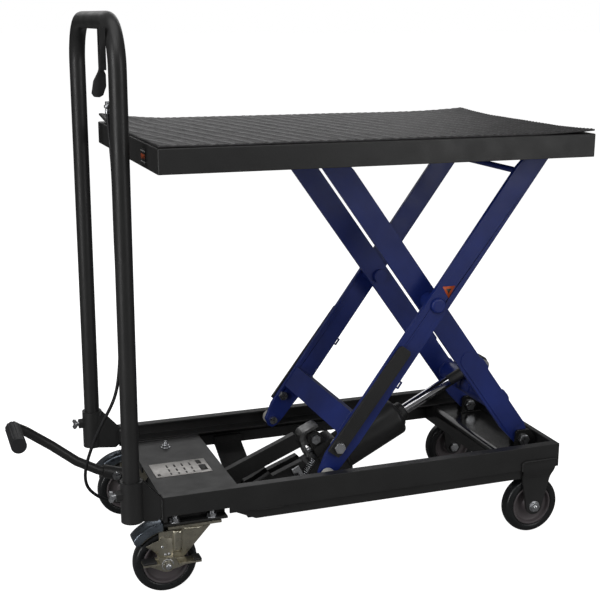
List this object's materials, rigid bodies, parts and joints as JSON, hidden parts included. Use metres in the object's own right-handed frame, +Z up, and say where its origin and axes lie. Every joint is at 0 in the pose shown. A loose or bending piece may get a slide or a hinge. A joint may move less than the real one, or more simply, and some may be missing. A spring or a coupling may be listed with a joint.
{
  "type": "scissor lift table",
  "caption": "Mobile hydraulic scissor lift table: foot pump, hand release on a push handle, safety lock bars, fixed and braked swivel casters, steel platform with rubber mat.",
  "frame": {"origin": "on the floor, under the middle of the whole cart's length and width", "axes": "+X along the cart from the push handle towards the fixed casters, +Y to the cart's left, +Z up"},
  "size_m": [0.9178, 0.45, 0.88],
  "materials": {
    "blue_powder_coat": "satin textured powder coat",
    "black_powder_coat": "satin powder coat",
    "black_gloss_paint": "gloss",
    "zinc_plate": "satin",
    "nickel_plate": "satin",
    "ground_steel": "polished",
    "bare_steel": "satin",
    "black_rubber": "matt",
    "rubber_mat": "ribbed, satin",
    "wheel": "black tyre on a grey plastic hub",
    "cable_sheath": "satin",
    "nylon_roller": "matt"
  },
  "bodies": {
    "base": {"base_rail_left": "black_powder_coat", "base_rail_right": "black_powder_coat", "front_deck_plate": "black_powder_coat", "rear_cross_member": "black_gloss_paint", "end_rail": "black_powder_coat", "arm_pivot_pins": "zinc_plate", "pump_anchor": "black_powder_coat", "handle_sockets": "black_powder_coat", "caster_mount_plates": "black_powder_coat", "swivel_caster_plates": "nickel_plate", "base_bolts": "zinc_plate", "fixed_caster_forks": "black_powder_coat", "fixed_axle_bolts": "zinc_plate", "push_handle": "black_powder_coat", "lever_bracket": "cable_sheath", "release_cable": "cable_sheath"},
    "release_lever": {"release_lever": "cable_sheath"},
    "wing_screw_left": {"wing_screw_left": "zinc_plate"},
    "wing_screw_right": {"wing_screw_right": "zinc_plate"},
    "inner_arms": {"inner_arm_left": "blue_powder_coat", "inner_arm_right": "blue_powder_coat", "ram_cross_tube": "blue_powder_coat", "ram_pin": "zinc_plate", "mid_pivot_bolts": "blue_powder_coat", "upper_roller_axles": "zinc_plate"},
    "outer_arms": {"outer_arm_left": "blue_powder_coat", "outer_arm_right": "blue_powder_coat", "outer_cross_tube": "blue_powder_coat", "tie_rod": "blue_powder_coat", "lower_roller_axles": "zinc_plate", "lock_bar_bolts": "zinc_plate"},
    "lower_rollers": {"lower_rollers": "nylon_roller"},
    "upper_rollers": {"upper_rollers": "nylon_roller"},
    "table": {"table_pan": "black_powder_coat", "rubber_mat": "rubber_mat", "table_tracks": "black_powder_coat", "table_pivot_brackets": "black_powder_coat", "table_pivot_pins": "zinc_plate"},
    "lock_bar_left": {"lock_bar_left": "black_powder_coat"},
    "lock_bar_right": {"lock_bar_right": "black_powder_coat"},
    "ram": {"ram_rod": "ground_steel", "rod_head": "black_powder_coat"},
    "pump": {"pump_cylinder": "black_powder_coat", "pump_base": "black_powder_coat", "pump_pins": "zinc_plate"},
    "pedal": {"pedal_yoke": "bare_steel", "pedal_lever": "black_powder_coat", "pedal_tube": "black_powder_coat", "pedal_sleeve": "black_rubber", "pedal_clamp_bolt": "zinc_plate"},
    "pump_plunger": {"pump_plunger": "zinc_plate"},
    "release_valve": {"release_valve": "zinc_plate"},
    "swivel_left": {"swivel_fork_left": "nickel_plate"},
    "brake_pedal_left": {"brake_pedal_left": "nickel_plate"},
    "wheel_swivel_left": {"wheel_swivel_left": "wheel"},
    "wheel_fixed_left": {"wheel_fixed_left": "wheel"},
    "swivel_right": {"swivel_fork_right": "nickel_plate"},
    "brake_pedal_right": {"brake_pedal_right": "nickel_plate"},
    "wheel_swivel_right": {"wheel_swivel_right": "wheel"},
    "wheel_fixed_right": {"wheel_fixed_right": "wheel"}
  },
  "joints": [
    {"name": "lift", "type": "hinge", "parent": "base", "child": "inner_arms", "pos_m": [0.4158, 0, 0.152], "axis": [0, 1, 0], "range_deg": [-44.6, 3.5]},
    {"name": "mid_pivot", "type": "hinge", "parent": "inner_arms", "child": "outer_arms", "pos_m": [0.22384, 0, 0.41796], "axis": [0, 1, 0], "range_deg": [-7.2, 89.4]},
    {"name": "table_pivot", "type": "hinge", "parent": "outer_arms", "child": "table", "pos_m": [0.4158, 0, 0.68392], "axis": [0, 1, 0], "range_deg": [-44.8, 3.7]},
    {"name": "lower_roller_spin", "type": "hinge", "parent": "outer_arms", "child": "lower_rollers", "pos_m": [0.03188, 0, 0.152], "axis": [0, 1, 0], "continuous": true},
    {"name": "upper_roller_spin", "type": "hinge", "parent": "inner_arms", "child": "upper_rollers", "pos_m": [0.03188, 0, 0.68392], "axis": [0, 1, 0], "continuous": true},
    {"name": "ram_pivot", "type": "hinge", "parent": "inner_arms", "child": "ram", "pos_m": [0.3799, 0, 0.266], "axis": [0, 1, 0], "range_deg": [-3.86, 46.86]},
    {"name": "ram_slide", "type": "slide", "parent": "ram", "child": "pump", "axis": [-0.8916, 0, -0.4529], "range_m": [-0.0888, 0.0072]},
    {"name": "pedal_pivot", "type": "hinge", "parent": "pump", "child": "pedal", "pos_m": [0.06043, 0, 0.16294], "axis": [0, -1, 0], "range_deg": [0, 11], "stiffness_Nm_per_rad": 4},
    {"name": "plunger_slide", "type": "slide", "parent": "pump", "child": "pump_plunger", "axis": [0.8916, 0, 0.4529], "range_m": [-0.0001, 0.004]},
    {"name": "release_lever_pivot", "type": "hinge", "parent": "base", "child": "release_lever", "pos_m": [-0.3106, -0.15, 0.814], "axis": [0, -1, 0], "range_deg": [0, 12], "stiffness_Nm_per_rad": 0.5},
    {"name": "release_valve_pivot", "type": "hinge", "parent": "pump", "child": "release_valve", "pos_m": [0.02854, -0.028, 0.10097], "axis": [0, -1, 0], "range_deg": [-0.1, 30.1]},
    {"name": "lock_bar_left_pivot", "type": "hinge", "parent": "outer_arms", "child": "lock_bar_left", "pos_m": [0.05146, 0.144, 0.19707], "axis": [0, -1, 0], "range_deg": [0, 125]},
    {"name": "wing_screw_left_turn", "type": "hinge", "parent": "base", "child": "wing_screw_left", "pos_m": [-0.3231, 0.168, 0.174], "axis": [1, 0, 0], "continuous": true},
    {"name": "swivel_left", "type": "hinge", "parent": "base", "child": "swivel_left", "pos_m": [-0.1971, 0.15, 0.104], "axis": [0, 0, 1], "continuous": true},
    {"name": "brake_left_tilt", "type": "hinge", "parent": "swivel_left", "child": "brake_pedal_left", "pos_m": [-0.2411, 0.17, 0.051], "axis": [0, 1, 0], "range_deg": [-8, 8]},
    {"name": "wheel_swivel_left_spin", "type": "hinge", "parent": "swivel_left", "child": "wheel_swivel_left", "pos_m": [-0.2411, 0.15, 0.051], "axis": [0, 1, 0], "continuous": true},
    {"name": "wheel_fixed_left_spin", "type": "hinge", "parent": "base", "child": "wheel_fixed_left", "pos_m": [0.4079, 0.15, 0.051], "axis": [0, 1, 0], "continuous": true},
    {"name": "lock_bar_right_pivot", "type": "hinge", "parent": "outer_arms", "child": "lock_bar_right", "pos_m": [0.05146, -0.144, 0.19707], "axis": [0, -1, 0], "range_deg": [0, 125]},
    {"name": "wing_screw_right_turn", "type": "hinge", "parent": "base", "child": "wing_screw_right", "pos_m": [-0.3231, -0.168, 0.174], "axis": [1, 0, 0], "continuous": true},
    {"name": "swivel_right", "type": "hinge", "parent": "base", "child": "swivel_right", "pos_m": [-0.1971, -0.15, 0.104], "axis": [0, 0, 1], "continuous": true},
    {"name": "brake_right_tilt", "type": "hinge", "parent": "swivel_right", "child": "brake_pedal_right", "pos_m": [-0.2411, -0.17, 0.051], "axis": [0, 1, 0], "range_deg": [-8, 8]},
    {"name": "wheel_swivel_right_spin", "type": "hinge", "parent": "swivel_right", "child": "wheel_swivel_right", "pos_m": [-0.2411, -0.15, 0.051], "axis": [0, 1, 0], "continuous": true},
    {"name": "wheel_fixed_right_spin", "type": "hinge", "parent": "base", "child": "wheel_fixed_right", "pos_m": [0.4079, -0.15, 0.051], "axis": [0, 1, 0], "continuous": true}
  ],
  "couplings": [
    {"joint": "mid_pivot", "follows": "lift", "ratio": -2},
    {"joint": "table_pivot", "follows": "lift", "ratio": 1},
    {"joint": "ram_pivot", "follows": "lift", "ratio": -1.0461},
    {"joint": "ram_slide", "follows": "lift", "m_per_rad": 0.11372},
    {"joint": "plunger_slide", "follows": "pedal_pivot", "m_per_rad": 0.0193},
    {"joint": "release_valve_pivot", "follows": "release_lever_pivot", "ratio": 2.5}
  ]
}
